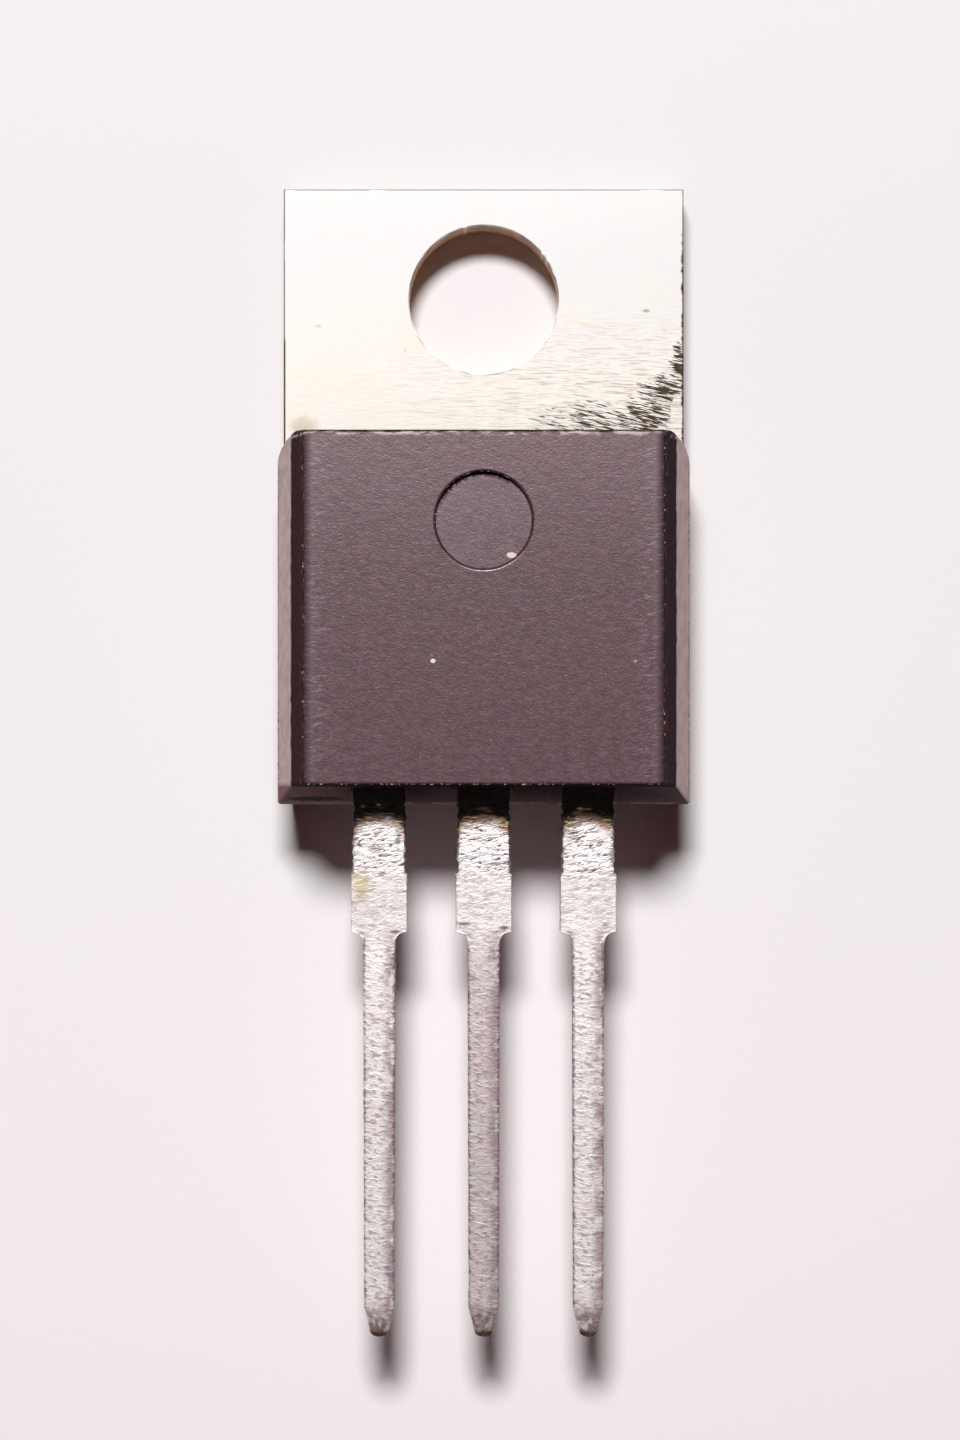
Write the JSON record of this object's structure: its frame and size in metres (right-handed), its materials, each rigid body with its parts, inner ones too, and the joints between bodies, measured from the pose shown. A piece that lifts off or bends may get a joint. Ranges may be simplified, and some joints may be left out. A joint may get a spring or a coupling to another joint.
{
  "type": "three-lead voltage regulator",
  "caption": "Linear voltage regulator in a black moulded power package with a bare metal mounting tab and straight round-tipped leads, lying on its back.",
  "frame": {"origin": "centre of the mounting hole, on the back face of the tab", "axes": "+Z along the hole, out of the moulded face; +Y towards the tab's free end; the leads run along -Y"},
  "size_m": [0.01, 0.0281, 0.0045],
  "materials": {
    "tinned_copper_plate": "dull plated, brushed and scuffed",
    "tinned_copper_lead": "solder-dipped, rough",
    "die_solder": "dull",
    "silicon": "polished",
    "bond_wire": "drawn",
    "moulding_compound": "moulded, fine grain"
  },
  "bodies": {
    "root": {"heat_sink_frame": "tinned_copper_plate", "input_lead": "tinned_copper_lead", "output_lead": "tinned_copper_lead", "die_solder": "die_solder", "silicon_die": "silicon", "input_wire": "bond_wire", "output_wire": "bond_wire", "sense_wire": "bond_wire", "ground_wire": "bond_wire", "moulded_body": "moulding_compound"}
  },
  "joints": []
}
